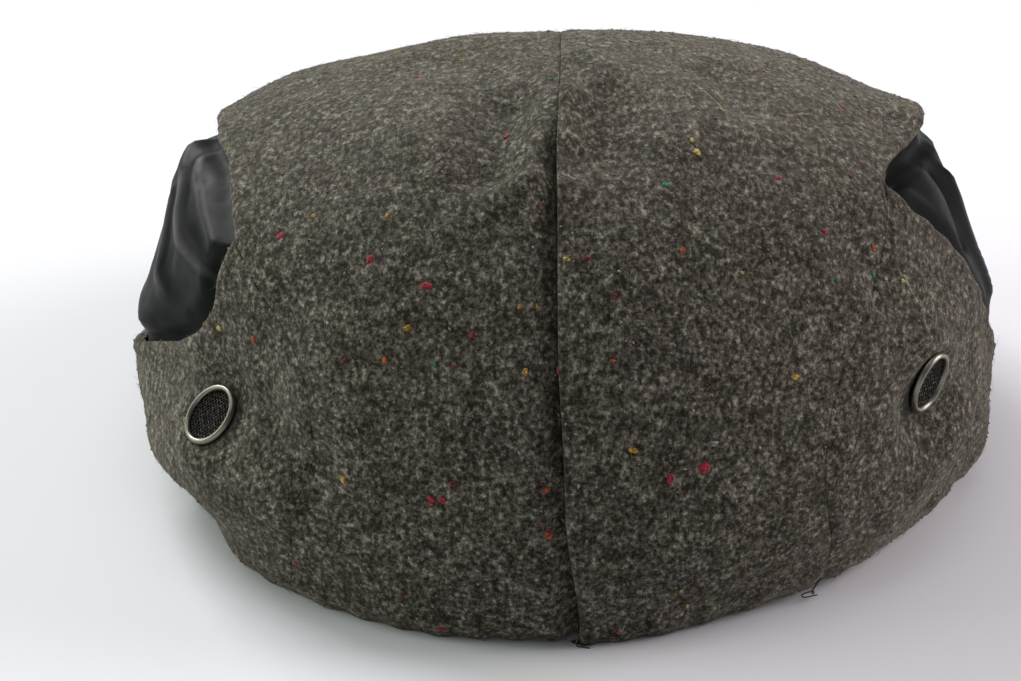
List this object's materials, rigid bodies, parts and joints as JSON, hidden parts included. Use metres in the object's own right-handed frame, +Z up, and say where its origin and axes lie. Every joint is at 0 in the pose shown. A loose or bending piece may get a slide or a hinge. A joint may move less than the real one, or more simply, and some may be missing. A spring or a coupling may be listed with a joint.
{
  "type": "flat cap",
  "caption": "Soft low flat cap of flecked tweed with a centre seam, dark side inserts, a mesh air eyelet on each side and a short stiff peak.",
  "frame": {"origin": "on the surface that the cap rests on, under the middle of the cap's bounding box", "axes": "+Y towards the peak, the front of the cap; +X to the wearer's right; +Z up, away from the surface that the hem rests on"},
  "size_m": [0.1782, 0.257, 0.0848],
  "materials": {
    "tweed": "fulled wool tweed, grey-brown with coloured flecks, matt and slightly hairy",
    "insert": "soft black leather with a broad satin sheen",
    "eyelet_ring": "dark nickel plate, smooth",
    "eyelet_mesh": "blackened woven wire"
  },
  "bodies": {
    "root": {"crown_left": "tweed", "crown_right": "tweed", "side_panel_left": "tweed", "side_panel_right": "tweed", "side_insert_left": "insert", "side_insert_right": "insert", "peak": "tweed", "eyelet_ring_left": "eyelet_ring", "eyelet_ring_right": "eyelet_ring", "eyelet_mesh_left": "eyelet_mesh", "eyelet_mesh_right": "eyelet_mesh"}
  },
  "joints": []
}
